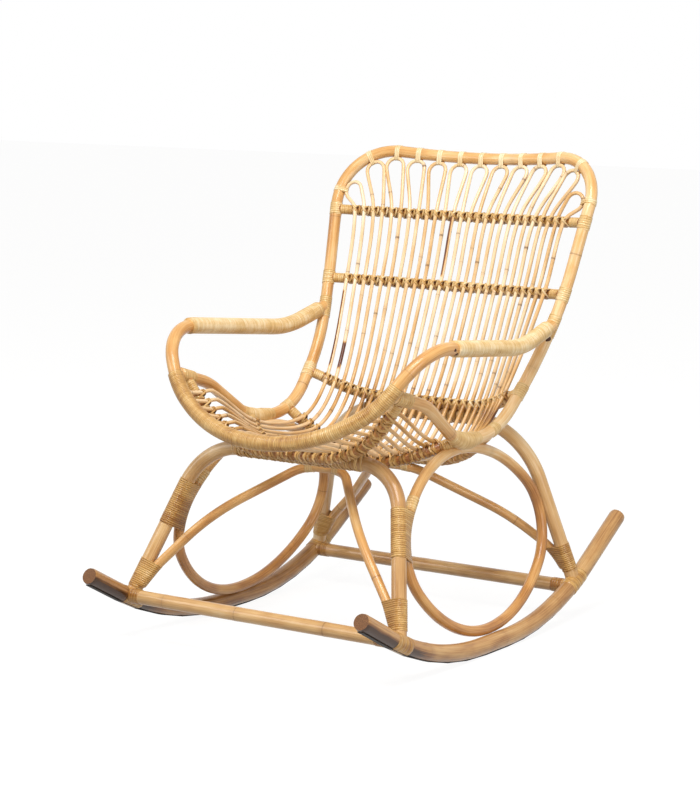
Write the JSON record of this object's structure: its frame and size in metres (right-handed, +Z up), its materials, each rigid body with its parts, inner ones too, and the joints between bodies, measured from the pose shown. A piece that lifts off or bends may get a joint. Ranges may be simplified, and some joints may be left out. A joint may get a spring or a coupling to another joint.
{
  "type": "rattan rocking chair",
  "caption": "Rocking chair of bent rattan poles with a bucket seat and back of thin cane, wound arms and front rim, side hoops and long rockers.",
  "frame": {"origin": "on the floor, midway between the rockers, under the flat middle of their curve", "axes": "+X to the sitter's left, +Y to the rear, +Z up"},
  "size_m": [0.632, 0.8962, 0.882],
  "materials": {
    "rattan_pole": "satin",
    "cane": "satin",
    "peel": "satin",
    "wear_strip": "matte"
  },
  "bodies": {
    "root": {"left_rocker": "rattan_pole", "right_rocker": "rattan_pole", "front_stretcher": "rattan_pole", "rear_stretcher": "rattan_pole", "front_leg_arch": "rattan_pole", "rear_leg_arch": "rattan_pole", "front_brace_arch": "rattan_pole", "rear_brace_arch": "rattan_pole", "left_side_hoop": "rattan_pole", "right_side_hoop": "rattan_pole", "back_frame": "rattan_pole", "left_seat_side": "rattan_pole", "right_seat_side": "rattan_pole", "arm_and_front_rim": "rattan_pole", "upper_back_rail": "rattan_pole", "middle_back_rail": "rattan_pole", "lower_back_rail": "rattan_pole", "rear_seat_rail": "rattan_pole", "middle_seat_rail": "rattan_pole", "front_seat_rail": "rattan_pole", "left_rocker_wear_strip": "wear_strip", "right_rocker_wear_strip": "wear_strip", "cane_loop_01": "cane", "cane_loop_02": "cane", "cane_loop_03": "cane", "cane_loop_04": "cane", "cane_loop_05": "cane", "cane_loop_06": "cane", "cane_loop_07": "cane", "cane_loop_08": "cane", "cane_loop_09": "cane", "cane_loop_10": "cane", "cane_loop_11": "cane", "cane_loop_12": "cane", "cane_loop_13": "cane", "front_rim_wrap": "peel", "left_arm_wrap": "peel", "right_arm_wrap": "peel", "front_left_foot_binding": "peel", "front_right_foot_binding": "peel", "rear_left_foot_binding": "peel", "rear_right_foot_binding": "peel", "left_hoop_binding": "peel", "right_hoop_binding": "peel"}
  },
  "joints": []
}
